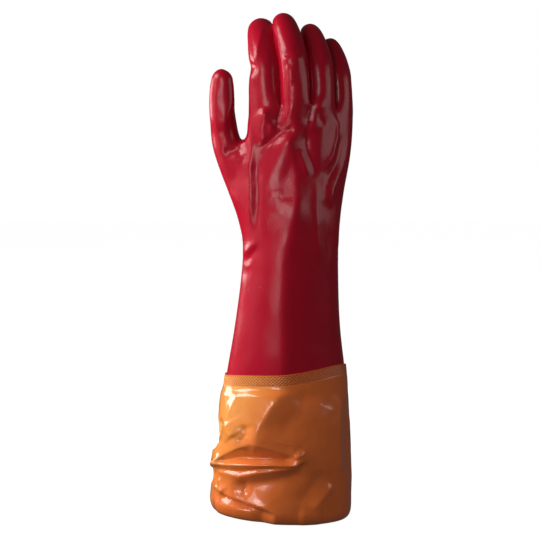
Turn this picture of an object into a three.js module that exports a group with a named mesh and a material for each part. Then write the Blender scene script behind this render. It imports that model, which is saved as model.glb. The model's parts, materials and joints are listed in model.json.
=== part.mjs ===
// A PVC coated gauntlet glove for the right hand, as it stands when worn: fingers up, the back of the
// hand to -Y, the thumb to -X. The coated glove is one hollow skin. A film sleeve lies round its gauntlet,
// joined by a knurled weld band at the top, open along the thumb side and turned inwards at the hem.
// Millimetres, +Z up. The origin is the middle of the arm opening, level with the hem's lowest point.
import * as THREE from 'three';

// Walls and clearances
const gloveWall = 1.8;
const filmWall = 1.0;
const pieceGap = 0.8;
const liningGap = 2.8;

// Hem: the sleeve's roll, which rises at the thumb side, and the lining that runs on up inside.
const hemHeight = 12;
const hemRise = 8;
const hemRoom = 8;
const hemReturn = 14;

// Gauntlet, from its end, a little above the hem's roll, to the wrist
const gauntletEnd = hemRise + hemRoom;
const gauntletLength = 246;
const cuffWidth = 128;
const cuffDepth = 74;
const wristWidth = 89;
const wristDepth = 58;
const wristShift = 9.5;

// Hand, from the wrist to the finger roots
const palmLength = 134;
const palmDepth = 46;
const handWidth = 110;
const webGap = 1.6;

// Fingers and thumb
const fingerLength = 95;
const fingerDepth = 27;
const thumbLength = 77;
const thumbWidth = 28;
const thumbDepth = 29;

// Sleeve and weld band: the sleeve's height is at the thumb side, and its top tilts up to the far side.
const sleeveHeight = 138;
const bandTiltHeight = 15;
const bandHeight = 11;
const filmSlack = 7.7;
const foldWidth = 14;
const foldDepth = 4.5;

const bodySides = 26;
const fingerSides = 8;
const thumbSides = 10;
const sleeveSides = 48;
const sleeveRows = 19;
const hemRows = 4;

// The sleeve's rows crowd at mid height and its columns at the thumb side, by these shares. The edges of its
// opening draw the columns along over this many degrees.
const rowCrowding = 0.35;
const columnCrowding = 0.4;
const edgeAngle = 60;

const wristHeight = gauntletEnd + gauntletLength;

const deg = THREE.MathUtils.degToRad;
const mix = THREE.MathUtils.lerp;
const smooth = (x, low = 0, high = 1) => THREE.MathUtils.smoothstep(x, low, high);
const vec = (x, y, z) => new THREE.Vector3(x, y, z);

// A smoothed ring of n control points lies inside them by this share.
const splineShrink = (n) => (4 + 2 * Math.cos((2 * Math.PI) / n)) / 6;

// Gauntlet sections: rise is the share of the way to the wrist, flare the share of the cuff's extra girth,
// shift the share of the wrist's sideways shift.
const gauntletSections = [
  { rise: 0.0, flare: 1.0, shift: -0.1 },
  { rise: 0.28, flare: 0.86, shift: 0.26 },
  { rise: 0.5, flare: 0.66, shift: 0.5 },
  { rise: 0.59, flare: 0.46, shift: 0.56 },
  { rise: 0.72, flare: 0.24, shift: 0.66 },
  { rise: 0.86, flare: 0.09, shift: 0.86 },
  { rise: 1.0, flare: 0.0, shift: 1.0 },
];

// Hand sections: rise is the share of the palm's length. left and right are shares of the hand's width
// from the wrist's middle, front and back shares of the palm's depth, root how far the section has
// turned into the ring of finger roots.
const handSections = [
  { rise: 0.127, left: -0.43, right: 0.415, front: -0.59, back: 0.64, root: 0.0 },
  { rise: 0.255, left: -0.475, right: 0.43, front: -0.55, back: 0.67, root: 0.0 },
  { rise: 0.4, left: -0.56, right: 0.45, front: -0.52, back: 0.68, root: 0.08 },
  { rise: 0.53, left: -0.52, right: 0.475, front: -0.49, back: 0.66, root: 0.25 },
  { rise: 0.65, left: -0.47, right: 0.5, front: -0.46, back: 0.6, root: 0.46 },
  { rise: 0.77, left: -0.42, right: 0.515, front: -0.44, back: 0.52, root: 0.7 },
  { rise: 0.885, left: -0.39, right: 0.52, front: -0.42, back: 0.46, root: 0.9 },
];
const thumbHole = { low: 3, high: 6 };

// Fingers: across and wide are shares of the hand's width, across from the wrist's middle; deep is a share
// of the palm's depth, rise of its length, thick of the finger's depth and long of its length. Yaw turns
// the finger's back, and curl and lean scale the bends of the stations below.
const fingers = [
  {
    name: 'index', across: -0.2209, deep: 0.033, rise: 1.007,
    yaw: -8, wide: 0.2773, thick: 1.0, long: 1.0, curl: 1.1, lean: 1.25,
  },
  {
    name: 'middle', across: 0.0327, deep: -0.141, rise: 1.03,
    yaw: 6, wide: 0.25, thick: 0.963, long: 1.0, curl: 0.95, lean: 1.05,
  },
  {
    name: 'ring', across: 0.2627, deep: 0.065, rise: 1.0,
    yaw: 20, wide: 0.2273, thick: 0.926, long: 0.937, curl: 1.05, lean: 0.1,
  },
  {
    name: 'little', across: 0.4318, deep: 0.391, rise: 0.955,
    yaw: 40, wide: 0.2091, thick: 0.833, long: 0.811, curl: 1.0, lean: -1.0,
  },
];

// Stations along a finger: at is the share of its length, wide and deep are shares of its root section,
// pitch bends it to the palm and lean to the thumb, in degrees.
const fingerStations = [
  { at: 0.13, wide: 1.0, deep: 0.97, pitch: 3, lean: 0 },
  { at: 0.3, wide: 0.98, deep: 0.95, pitch: 6, lean: 1 },
  { at: 0.46, wide: 1.0, deep: 0.98, pitch: 13, lean: 4 },
  { at: 0.62, wide: 0.93, deep: 0.88, pitch: 32, lean: 10 },
  { at: 0.8, wide: 0.88, deep: 0.78, pitch: 42, lean: 13 },
  { at: 0.93, wide: 0.7, deep: 0.6, pitch: 47, lean: 14 },
  { at: 1.0, wide: 0, deep: 0, pitch: 48, lean: 14 },
];

// Thumb stations: at is the share of the thumb's length above its root, across and deep place the middle
// as for the fingers, wide and thick are shares of the thumb's width and depth. The thumb grows out of the
// hand from the start.
const thumbRootShare = 0.709;
const thumbStart = { rise: 0.537, across: -0.486, deep: 0.261 };
const thumbStations = [
  { at: 0, across: -0.5591, deep: 0.25, wide: 1.0, thick: 1.0 },
  { at: 0.221, across: -0.5764, deep: 0.228, wide: 0.893, thick: 0.914 },
  { at: 0.455, across: -0.5955, deep: 0.207, wide: 0.843, thick: 0.845 },
  { at: 0.701, across: -0.5991, deep: 0.185, wide: 0.786, thick: 0.759 },
  { at: 0.883, across: -0.5964, deep: 0.174, wide: 0.625, thick: 0.586 },
  { at: 1.0, across: -0.5955, deep: 0.174, wide: 0, thick: 0 },
];

// The film between the hem (up 0) and the weld band (up 1). lip and heel are the front and back edges of
// its opening, in degrees from the thumb side over the back of the hand; they meet where it is closed.
// The other columns are the share of its slack with which it stands off the gauntlet on its four sides.
const filmRows = [
  { up: 0.0, lip: -6, heel: -6, thumb: 0.29, outer: 0.42, dorsal: 1.0, palm: 0.94 },
  { up: 0.08, lip: -4, heel: -8, thumb: 0.29, outer: 0.42, dorsal: 1.0, palm: 0.94 },
  { up: 0.17, lip: 16, heel: -18, thumb: 0.23, outer: 0.42, dorsal: 1.0, palm: 0.87 },
  { up: 0.25, lip: 12, heel: -24, thumb: 0.21, outer: 0.42, dorsal: 1.0, palm: 0.81 },
  { up: 0.32, lip: -8, heel: -28, thumb: 0.21, outer: 0.36, dorsal: 1.0, palm: 0.74 },
  { up: 0.39, lip: -9, heel: -30, thumb: 0.18, outer: 0.34, dorsal: 1.0, palm: 0.68 },
  { up: 0.46, lip: 20, heel: -32, thumb: 0.13, outer: 0.29, dorsal: 0.94, palm: 0.61 },
  { up: 0.54, lip: 25, heel: -30, thumb: 0.1, outer: 0.23, dorsal: 0.87, palm: 0.55 },
  { up: 0.7, lip: 14, heel: -22, thumb: 0.08, outer: 0.13, dorsal: 0.68, palm: 0.35 },
  { up: 0.85, lip: 4, heel: -6, thumb: 0.06, outer: 0.04, dorsal: 0.35, palm: 0.09 },
  { up: 0.88, lip: 0, heel: 0, thumb: 0.05, outer: 0.03, dorsal: 0.22, palm: 0.05 },
  { up: 1.0, lip: 0, heel: 0, thumb: 0.01, outer: 0.01, dorsal: 0.01, palm: 0.01 },
];
const filmOpening = { low: 0.07, high: 0.88 };
const foldStartShare = 0.07;

// Folds of the film, each a ridge (lift above 0) or valley between two places, given by their turn in
// degrees from the thumb side over the back of the hand and their share of the sleeve's height. Wide and
// lift are shares of the widest fold's width and the deepest fold's depth.
const filmFolds = [
  { name: 'facet', turnA: 88, upA: 0.928, turnB: 63, upB: 0.623, wide: 0.57, lift: 0.49 },
  { name: 'hollow', turnA: 116, upA: 0.841, turnB: 80, upB: 0.681, wide: 1.0, lift: -1.0 },
  { name: 'brow rising', turnA: 20, upA: 0.42, turnB: 62, upB: 0.594, wide: 0.43, lift: 0.71 },
  { name: 'brow falling', turnA: 62, upA: 0.594, turnB: 106, upB: 0.493, wide: 0.43, lift: 0.58 },
  { name: 'pleat', turnA: 30, upA: 0.478, turnB: 96, upB: 0.478, wide: 0.32, lift: -0.71 },
  { name: 'lower ridge', turnA: -8, upA: 0.391, turnB: 104, upB: 0.435, wide: 0.43, lift: 0.67 },
  { name: 'pinch', turnA: 104, upA: 0.486, turnB: 108, upB: 0.442, wide: 0.36, lift: 0.49 },
  { name: 'furrow', turnA: 50, upA: 0.304, turnB: 130, upB: 0.304, wide: 0.64, lift: -0.89 },
  { name: 'crease', turnA: 30, upA: 0.304, turnB: 98, upB: 0.058, wide: 0.32, lift: -0.89 },
  { name: 'hem roll', turnA: -6, upA: 0.159, turnB: 72, upB: 0.087, wide: 0.57, lift: 0.36 },
  { name: 'side hollow', turnA: 143, upA: 0.841, turnB: 147, upB: 0.188, wide: 0.71, lift: -0.4 },
];

// How far the weld band's top edge has tilted up round the gauntlet.
const bandTops = [
  { turn: 0, tilt: 0 },
  { turn: 50, tilt: 0.4 },
  { turn: 90, tilt: 0.47 },
  { turn: 125, tilt: 0.87 },
  { turn: 155, tilt: 1.0 },
  { turn: 185, tilt: 0.67 },
  { turn: 270, tilt: 0.27 },
  { turn: 360, tilt: 0 },
];

function tableValue(table, key, column, at) {
  const last = table.length - 1;
  if (at <= table[0][key]) return table[0][column];
  for (let i = 0; i < last; i += 1) {
    const [a, b] = [table[i], table[i + 1]];
    if (at <= b[key]) return mix(a[column], b[column], (at - a[key]) / (b[key] - a[key]));
  }
  return table[last][column];
}

// A point of an oval with its own left, right, front and back reach. Turn is 0 at the thumb side and
// runs over the back of the hand.
function ovalPoint(section, turn, z, grow = 0) {
  const middleX = (section.left + section.right) / 2;
  const middleY = (section.front + section.back) / 2;
  const halfX = (section.right - section.left) / 2 + grow;
  const halfY = (section.back - section.front) / 2 + grow;
  return vec(middleX - halfX * Math.cos(turn), middleY - halfY * Math.sin(turn), z);
}

function gauntletSection(row) {
  const width = mix(wristWidth, cuffWidth, row.flare);
  const depth = mix(wristDepth, cuffDepth, row.flare);
  const shift = wristShift * row.shift;
  return { left: shift - width / 2, right: shift + width / 2, front: -depth / 2, back: depth / 2 };
}

// The smooth surface's own values at each row of a table of control rows and half way between rows.
function smoothRows(rows) {
  const columns = Object.keys(rows[0]);
  const blend = (weights) =>
    Object.fromEntries(columns.map((c) => [c, weights.reduce((total, [row, w]) => total + w * row[c], 0)]));
  const last = rows.length - 1;
  const before = blend([[rows[0], 2], [rows[1], -1]]);
  const after = blend([[rows[last], 2], [rows[last - 1], -1]]);
  const all = [before, ...rows, after];
  const result = [];
  for (let i = 1; i <= rows.length; i += 1) {
    result.push(blend([[all[i - 1], 1 / 6], [all[i], 4 / 6], [all[i + 1], 1 / 6]]));
    if (i === rows.length) break;
    const between = [[all[i - 1], 1], [all[i], 23], [all[i + 1], 23], [all[i + 2], 1]];
    result.push(blend(between.map(([row, weight]) => [row, weight / 48])));
  }
  return result;
}

const smoothGauntlet = smoothRows(gauntletSections);

function gauntletAt(z) {
  const rise = (z - gauntletEnd) / gauntletLength;
  return gauntletSection({
    flare: tableValue(smoothGauntlet, 'rise', 'flare', rise),
    shift: tableValue(smoothGauntlet, 'rise', 'shift', rise),
  });
}

// A place in the hand: rise is a share of the palm's length above the wrist, across of the hand's width
// from the wrist's middle, deep of the palm's depth.
function handPoint({ rise, across, deep }) {
  return vec(wristShift + across * handWidth, deep * palmDepth, wristHeight + rise * palmLength);
}

// The directions of a finger's section: along it, to its side and to its palm side.
function fingerAxes(yaw, direction) {
  const lateral = vec(Math.cos(deg(yaw)), Math.sin(deg(yaw)), 0);
  const along = direction.clone().normalize();
  const side = lateral.sub(along.clone().multiplyScalar(lateral.dot(along))).normalize();
  const palm = along.clone().cross(side);
  return { along, side, palm };
}

function ringPoint(centre, axes, angle, halfWide, halfDeep) {
  return centre
    .clone()
    .addScaledVector(axes.side, halfWide * Math.cos(angle))
    .addScaledVector(axes.palm, halfDeep * Math.sin(angle));
}

// A finger's first column is at the thumb side of its back.
const firstColumn = -135;
const fingerAngle = (k) => deg(firstColumn + (360 / fingerSides) * k);
const up = vec(0, 0, 1);
const fingerWide = (finger) => (finger.wide * handWidth) / 2 / splineShrink(fingerSides);
const fingerDeep = (finger) => (finger.thick * fingerDepth) / 2 / splineShrink(fingerSides);

function rootRing(finger) {
  const axes = fingerAxes(finger.yaw, up);
  const centre = handPoint(finger);
  return Array.from({ length: fingerSides }, (_, k) =>
    ringPoint(centre, axes, fingerAngle(k), fingerWide(finger), fingerDeep(finger)),
  );
}

// Neighbouring fingers stand webGap apart at their roots.
function openWebs(rings) {
  const [dorsalUlnar, ulnar, palmarUlnar] = [2, 3, 4];
  const [dorsalRadial, palmarRadial, radial] = [0, 6, 7];
  for (let i = 0; i + 1 < rings.length; i += 1) {
    const pairs = [
      [dorsalUlnar, dorsalRadial],
      [ulnar, radial],
      [palmarUlnar, palmarRadial],
    ];
    for (const [mine, theirs] of pairs) {
      const [a, b] = [rings[i][mine], rings[i + 1][theirs]];
      const middle = a.clone().add(b).multiplyScalar(0.5);
      const apart = vec(Math.cos(deg(fingers[i].yaw)), Math.sin(deg(fingers[i].yaw)), 0);
      a.copy(middle).addScaledVector(apart, -webGap / 2);
      b.copy(middle).addScaledVector(apart, webGap / 2);
    }
  }
}

function fingerRings(finger) {
  const rings = [];
  const centre = handPoint(finger);
  let before = 0;
  for (const station of fingerStations) {
    const step = (station.at - before) * finger.long * fingerLength;
    before = station.at;
    const yaw = deg(finger.yaw);
    const direction = up
      .clone()
      .addScaledVector(vec(-Math.sin(yaw), Math.cos(yaw), 0), Math.tan(deg(station.pitch * finger.curl)))
      .add(vec(-Math.tan(deg(station.lean * finger.lean)), 0, 0))
      .normalize();
    centre.addScaledVector(direction, step);
    const axes = fingerAxes(finger.yaw, direction);
    const halfWide = station.wide * fingerWide(finger);
    const halfDeep = station.deep * fingerDeep(finger);
    if (station.wide === 0) {
      rings.push([centre.clone()]);
    } else {
      rings.push(
        Array.from({ length: fingerSides }, (_, k) =>
          ringPoint(centre, axes, fingerAngle(k), halfWide, halfDeep),
        ),
      );
    }
  }
  return rings;
}

function thumbRings() {
  const centres = thumbStations.map((station) => {
    const place = handPoint({ rise: thumbRootShare, across: station.across, deep: station.deep });
    return place.addScaledVector(up, station.at * thumbLength);
  });
  return thumbStations.map((station, i) => {
    if (station.wide === 0) return [centres[i]];
    const along = centres[i + 1].clone().sub(i ? centres[i - 1] : handPoint(thumbStart)).normalize();
    const back = vec(0, -1, 0);
    const front = back.sub(along.clone().multiplyScalar(back.dot(along))).normalize();
    const outer = front.clone().cross(along);
    const halfWide = (station.wide * thumbWidth) / 2 / splineShrink(thumbSides);
    const halfDeep = (station.thick * thumbDepth) / 2 / splineShrink(thumbSides);
    return Array.from({ length: thumbSides }, (_, k) => {
      const angle = deg((360 / thumbSides) * (k - 1));
      return ringPoint(centres[i], { side: outer, palm: front }, angle, halfWide, halfDeep);
    });
  });
}

// A faced mesh of quads: points and faces, with the helpers that grow it.
class Cage {
  constructor() {
    this.points = [];
    this.faces = [];
  }

  add(points) {
    const first = this.points.length;
    this.points.push(...points);
    return points.map((_, i) => first + i);
  }

  // Joins two closed loops of the same length, the second further along the outward axis.
  bridge(low, high) {
    const n = low.length;
    for (let k = 0; k < n; k += 1) {
      this.faces.push([low[k], low[(k + 1) % n], high[(k + 1) % n], high[k]]);
    }
  }

  // Closes a loop of an even length round a middle point.
  cap(loop, middle) {
    const n = loop.length;
    for (let k = 0; k < n; k += 2) {
      this.faces.push([loop[k], loop[k + 1], loop[(k + 2) % n], middle]);
    }
  }
}

function gloveCage() {
  const cage = new Cage();
  const roots = fingers.map(rootRing);
  openWebs(roots);
  const [f0, f1, f2, f3] = roots.map((ring) => cage.add(ring));
  const dorsal = (f) => [f[0], f[1], f[2]];
  const palmar = (f) => [f[4], f[5], f[6]];
  const topRing = [
    ...[f0, f1, f2, f3].flatMap(dorsal),
    f3[3],
    ...[f3, f2, f1, f0].flatMap(palmar),
    f0[7],
  ];

  const turnAt = (k) => ((k + 1) * 2 * Math.PI) / bodySides;
  const grow = 1 / splineShrink(bodySides) - 1;
  const oval = (section, z) =>
    Array.from({ length: bodySides }, (_, k) =>
      ovalPoint(section, turnAt(k), z, (grow * (section.right - section.left)) / 2),
    );
  const rings = gauntletSections.map((row) =>
    oval(gauntletSection(row), gauntletEnd + row.rise * gauntletLength),
  );
  for (const row of handSections) {
    const z = wristHeight + row.rise * palmLength;
    const section = {
      left: wristShift + row.left * handWidth,
      right: wristShift + row.right * handWidth,
      front: row.front * palmDepth,
      back: row.back * palmDepth,
    };
    const ring = oval(section, z);
    ring.forEach((point, k) => {
      const root = cage.points[topRing[k]];
      point.x = mix(point.x, root.x, row.root);
      point.y = mix(point.y, root.y, row.root);
    });
    rings.push(ring);
  }
  const loops = rings.map((ring) => cage.add(ring));
  loops.push(topRing);

  // Columns on either side of the thumb side's middle are left open for the thumb.
  const [palmSide, middle, backSide] = [bodySides - 2, bodySides - 1, 0];
  const low = gauntletSections.length - 1 + thumbHole.low;
  const high = gauntletSections.length - 1 + thumbHole.high;
  for (let j = 0; j + 1 < loops.length; j += 1) {
    for (let k = 0; k < bodySides; k += 1) {
      const open = j >= low && j < high && (k === palmSide || k === middle);
      if (open) continue;
      const next = (k + 1) % bodySides;
      cage.faces.push([loops[j][k], loops[j][next], loops[j + 1][next], loops[j + 1][k]]);
    }
  }

  // Webs between the finger roots, then the fingers.
  for (const [a, b] of [[f0, f1], [f1, f2], [f2, f3]]) {
    cage.faces.push([a[2], b[0], b[7], a[3]]);
    cage.faces.push([a[3], b[7], b[6], a[4]]);
  }
  fingers.forEach((finger, i) => growTube(cage, [f0, f1, f2, f3][i], fingerRings(finger)));

  const hole = [
    loops[low][palmSide],
    loops[low][middle],
    loops[low][backSide],
    loops[low + 1][backSide],
    loops[low + 2][backSide],
    loops[high][backSide],
    loops[high][middle],
    loops[high][palmSide],
    loops[low + 2][palmSide],
    loops[low + 1][palmSide],
  ];
  growTube(cage, hole, thumbRings());

  // The middle column has points inside the thumb's opening that no face uses.
  return withoutLoosePoints(cage);
}

function growTube(cage, rootLoop, rings) {
  let loop = rootLoop;
  for (const ring of rings) {
    const next = cage.add(ring);
    if (ring.length === 1) cage.cap(loop, next[0]);
    else cage.bridge(loop, next);
    loop = next;
  }
}

function withoutLoosePoints(cage) {
  const used = new Map();
  const tidy = new Cage();
  tidy.faces = cage.faces.map((face) =>
    face.map((i) => {
      if (!used.has(i)) {
        used.set(i, tidy.points.length);
        tidy.points.push(cage.points[i].clone());
      }
      return used.get(i);
    }),
  );
  return tidy;
}

const edgeKey = (a, b) => (a < b ? `${a}_${b}` : `${b}_${a}`);
const sum = (points) => points.reduce((total, p) => total.add(p), vec(0, 0, 0));
const average = (points) => sum(points).divideScalar(points.length);

// Neighbours of each point and the faces on each edge.
function neighbours(cage) {
  const edges = new Map();
  const pointFaces = cage.points.map(() => []);
  cage.faces.forEach((face, f) => {
    face.forEach((a, i) => {
      const b = face[(i + 1) % face.length];
      const key = edgeKey(a, b);
      if (!edges.has(key)) edges.set(key, { a, b, faces: [] });
      edges.get(key).faces.push(f);
      pointFaces[a].push(f);
    });
  });
  const pointEdges = cage.points.map(() => []);
  for (const edge of edges.values()) {
    pointEdges[edge.a].push(edge);
    pointEdges[edge.b].push(edge);
  }
  return { edges, pointFaces, pointEdges };
}

// One round of Catmull-Clark. Each new quad runs point, edge, face, edge.
function refine(cage) {
  const { edges, pointFaces, pointEdges } = neighbours(cage);
  const faceMiddles = cage.faces.map((face) => average(face.map((i) => cage.points[i])));
  const finer = new Cage();
  const isRim = (edge) => edge.faces.length === 1;
  finer.add(
    cage.points.map((p, i) => {
      const rims = pointEdges[i].filter(isRim);
      if (rims.length) {
        const others = rims.map((e) => cage.points[e.a === i ? e.b : e.a]);
        return sum(others).divideScalar(8).addScaledVector(p, 0.75);
      }
      const n = pointEdges[i].length;
      const faceMean = average(pointFaces[i].map((f) => faceMiddles[f]));
      const edgeMean = average(pointEdges[i].map((e) => average([cage.points[e.a], cage.points[e.b]])));
      return faceMean.addScaledVector(edgeMean, 2).addScaledVector(p, n - 3).divideScalar(n);
    }),
  );
  const firstFace = finer.points.length;
  finer.add(faceMiddles);
  const edgeIndex = new Map();
  for (const [key, edge] of edges) {
    const ends = [cage.points[edge.a], cage.points[edge.b]];
    const besides = isRim(edge) ? [] : edge.faces.map((f) => faceMiddles[f]);
    edgeIndex.set(key, finer.add([average([...ends, ...besides])])[0]);
  }
  cage.faces.forEach((face, f) => {
    const n = face.length;
    face.forEach((a, i) => {
      const next = edgeIndex.get(edgeKey(a, face[(i + 1) % n]));
      const last = edgeIndex.get(edgeKey(face[(i + n - 1) % n], a));
      finer.faces.push([a, next, firstFace + f, last]);
    });
  });
  return finer;
}

// Moves each point onto the smooth surface that further rounds would reach.
function settle(cage) {
  const { pointFaces, pointEdges } = neighbours(cage);
  const settled = new Cage();
  settled.faces = cage.faces;
  settled.points = cage.points.map((p, i) => {
    const rims = pointEdges[i].filter((edge) => edge.faces.length === 1);
    if (rims.length) {
      const others = rims.map((e) => cage.points[e.a === i ? e.b : e.a]);
      return sum(others).addScaledVector(p, 4).divideScalar(6);
    }
    const n = pointEdges[i].length;
    const total = p.clone().multiplyScalar(n * n);
    for (const edge of pointEdges[i]) total.addScaledVector(cage.points[edge.a === i ? edge.b : edge.a], 4);
    for (const f of pointFaces[i]) {
      const face = cage.faces[f];
      total.add(cage.points[face[(face.indexOf(i) + 2) % 4]]);
    }
    return total.divideScalar(n * (n + 5));
  });
  return settled;
}

function pointNormals(points, faces) {
  const normals = points.map(() => vec(0, 0, 0));
  for (const face of faces) {
    const [a, b, c, d] = face.map((i) => points[i]);
    const normal = c.clone().sub(a).cross(d.clone().sub(b));
    for (const i of face) normals[i].add(normal);
  }
  return normals.map((n) => n.normalize());
}

// The glove's solid: the smooth skin outside, and the coarser cage settled a wall's thickness inside it.
function gloveGeometry() {
  const cage = gloveCage();
  const skin = settle(refine(cage));
  const normals = pointNormals(skin.points, skin.faces);
  const triangles = skin.faces.flatMap(([a, e, f, g]) => [[a, e, f], [a, f, g]]);
  const points = [...skin.points];
  const firstInner = points.length;
  const inner = cage.points.map((_, i) => skin.points[i].clone().addScaledVector(normals[i], -gloveWall));
  points.push(...inner);
  for (const [a, b, c, d] of cage.faces) {
    triangles.push([a, c, b].map((i) => i + firstInner), [a, d, c].map((i) => i + firstInner));
  }
  // The rim runs along the cage's open edges, each with one smooth point at its middle.
  const { edges } = neighbours(cage);
  const fine = neighbours(skin);
  for (const edge of edges.values()) {
    if (edge.faces.length !== 1) continue;
    const face = cage.faces[edge.faces[0]];
    const forward = face[(face.indexOf(edge.a) + 1) % 4] === edge.b;
    const [a, b] = forward ? [edge.a, edge.b] : [edge.b, edge.a];
    const middle = rimMiddle(fine, a, b);
    const [innerA, innerB] = [a + firstInner, b + firstInner];
    triangles.push([innerA, middle, a], [innerA, innerB, middle], [innerB, b, middle]);
  }
  return meshGeometry(points, triangles);
}

function rimMiddle(fine, a, b) {
  const rimEnds = (i) =>
    fine.pointEdges[i].filter((e) => e.faces.length === 1).map((e) => (e.a === i ? e.b : e.a));
  return rimEnds(a).find((m) => rimEnds(b).includes(m));
}

function meshGeometry(points, triangles) {
  const geometry = new THREE.BufferGeometry();
  const values = points.flatMap((p) => p.toArray());
  geometry.setAttribute('position', new THREE.Float32BufferAttribute(values, 3));
  geometry.setIndex(triangles.flat());
  geometry.computeVertexNormals();
  return geometry;
}

const fullTurn = 360;

function bandTopAt(turn) {
  return sleeveHeight + bandTiltHeight * tableValue(bandTops, 'turn', 'tilt', (turn + fullTurn) % fullTurn);
}

// The gauntlet's section at a height, grown by the film's own stand off on each side.
const standOff = (share) => pieceGap + share * filmSlack;

function filmSection(z, row) {
  const near = gauntletAt(z);
  return {
    left: near.left - standOff(row.thumb) - filmWall,
    right: near.right + standOff(row.outer) + filmWall,
    front: near.front - standOff(row.dorsal) - filmWall,
    back: near.back + standOff(row.palm) + filmWall,
  };
}

// The length of one degree of turn round the cuff.
const turnLength = deg((cuffWidth + cuffDepth) / 4);

function foldLift(turn, z) {
  let lift = 0;
  for (const fold of filmFolds) {
    const [dx, dy] = [(fold.turnB - fold.turnA) * turnLength, (fold.upB - fold.upA) * sleeveHeight];
    const [px, py] = [(turn - fold.turnA) * turnLength, z - fold.upA * sleeveHeight];
    const along = THREE.MathUtils.clamp((px * dx + py * dy) / (dx * dx + dy * dy), 0, 1);
    const away = Math.hypot(px - along * dx, py - along * dy) / (fold.wide * foldWidth);
    lift += fold.lift * foldDepth * Math.exp(-away * away);
  }
  return lift;
}

// How far the film's inner face stands off the gauntlet at a turn.
function roomAt(row, turn) {
  const front = Math.sin(deg(turn)) > 0 ? row.dorsal : row.palm;
  const side = Math.cos(deg(turn)) > 0 ? row.thumb : row.outer;
  return standOff(mix(side, front, Math.sin(deg(turn)) ** 2));
}

const filmAt = (share) =>
  Object.fromEntries(Object.keys(filmRows[0]).map((c) => [c, tableValue(filmRows, 'up', c, share)]));

// The hem's lowest line rises a little at the thumb side.
const hemLow = (turn) => hemRise * ((1 + Math.cos(deg(turn))) / 2) ** 2;
const hemFoot = (turn) => hemLow(turn) + hemHeight;

// Rows lie closer together at mid height and columns on the thumb side, where most folds are.
const rowShare = (t) => t + (rowCrowding * Math.sin(2 * Math.PI * t)) / (2 * Math.PI);
const columnShare = (t) => t + columnCrowding * t * (t - 1);

// A row of the sleeve, from the front edge of the opening round the back of the hand to its back edge.
function filmRow(film, pointAt) {
  return Array.from({ length: sleeveSides + 1 }, (_, k) => {
    const even = fullTurn * columnShare(k / sleeveSides);
    const lip = film.lip * (1 - smooth(even, 0, edgeAngle));
    const heel = film.heel * smooth(even, fullTurn - edgeAngle, fullTurn);
    return pointAt(even + lip + heel);
  });
}

// The sleeve's outer face as rows of points from the weld band down, round the hem and up inside.
// Every row has a point for both edges of the opening, the same one where the film is closed.
function sleeveGrid() {
  const rows = [];
  for (let i = 0; i <= sleeveRows; i += 1) {
    const share = 1 - rowShare(i / sleeveRows);
    const film = filmAt(share);
    const points = filmRow(film, (turn) => {
      const z = mix(hemFoot(turn), bandTopAt(turn) - bandHeight - pieceGap, share);
      const fold = foldLift(turn, z) * smooth(1 - share, 0, foldStartShare);
      return ovalPoint(filmSection(z, film), deg(turn), z, Math.max(fold, pieceGap - roomAt(film, turn)));
    });
    rows.push({ points, open: share > filmOpening.low && share < filmOpening.high });
  }
  const foot = rows[sleeveRows].points;
  const inset = gloveWall + liningGap + filmWall;
  const lining = (z) => filmRow(filmAt(0), (turn) => ovalPoint(gauntletAt(z), deg(turn), z, -inset));
  const inner = lining(gauntletEnd);
  for (let i = 1; i <= hemRows; i += 1) {
    const angle = (Math.PI * i) / hemRows;
    const points = foot.map((point, k) => {
      const across = point.clone().lerp(inner[k], (1 - Math.cos(angle)) / 2);
      return across.setZ(point.z - hemHeight * Math.sin(angle));
    });
    rows.push({ points, open: false });
  }
  rows.push({ points: lining(gauntletEnd + hemReturn), open: false });
  return rows;
}

function sleeveGeometry() {
  const rows = sleeveGrid();
  const width = sleeveSides + 1;
  const points = rows.flatMap((row) => row.points);
  const index = (r, k) => r * width + (k === sleeveSides && !rows[r].open ? 0 : k);
  const faces = [];
  for (let r = 0; r + 1 < rows.length; r += 1) {
    for (let k = 0; k < sleeveSides; k += 1) {
      faces.push([index(r + 1, k), index(r + 1, k + 1), index(r, k + 1), index(r, k)]);
    }
  }
  return sheetGeometry(points, faces, filmWall);
}

// Gives a sheet of quads its thickness on the inside, and closes its open edges.
function sheetGeometry(points, faces, wall) {
  const tidy = withoutLoosePoints({ points, faces });
  const normals = pointNormals(tidy.points, tidy.faces);
  const count = tidy.points.length;
  const all = [...tidy.points, ...tidy.points.map((p, i) => p.clone().addScaledVector(normals[i], -wall))];
  const triangles = [];
  const halves = new Set();
  for (const face of tidy.faces) {
    const [a, b, c, d] = face;
    triangles.push([a, b, c], [a, c, d]);
    triangles.push([a, c, b].map((i) => i + count), [a, d, c].map((i) => i + count));
    face.forEach((p, i) => halves.add(`${p}_${face[(i + 1) % 4]}`));
  }
  for (const half of halves) {
    const [a, b] = half.split('_').map(Number);
    if (halves.has(`${b}_${a}`)) continue;
    triangles.push([b, a, a + count], [b, a + count, b + count]);
  }
  return meshGeometry(all, triangles);
}

function bandGeometry() {
  const rows = [0, 0.5, 1].map((down) =>
    Array.from({ length: sleeveSides }, (_, k) => {
      const turn = (k * fullTurn) / sleeveSides;
      const z = bandTopAt(turn) - down * bandHeight;
      return ovalPoint(gauntletAt(z), deg(turn), z, pieceGap + filmWall);
    }),
  );
  const faces = [];
  for (let r = 0; r + 1 < rows.length; r += 1) {
    for (let k = 0; k < sleeveSides; k += 1) {
      const [a, b] = [r * sleeveSides, (r + 1) * sleeveSides];
      const next = (k + 1) % sleeveSides;
      faces.push([b + k, b + next, a + next, a + k]);
    }
  }
  return sheetGeometry(rows.flat(), faces, filmWall);
}

const coating = new THREE.MeshStandardMaterial({ color: 0x9c1220, roughness: 0.25, metalness: 0 });
const film = new THREE.MeshStandardMaterial({ color: 0xd07a2c, roughness: 0.3, metalness: 0 });

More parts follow.
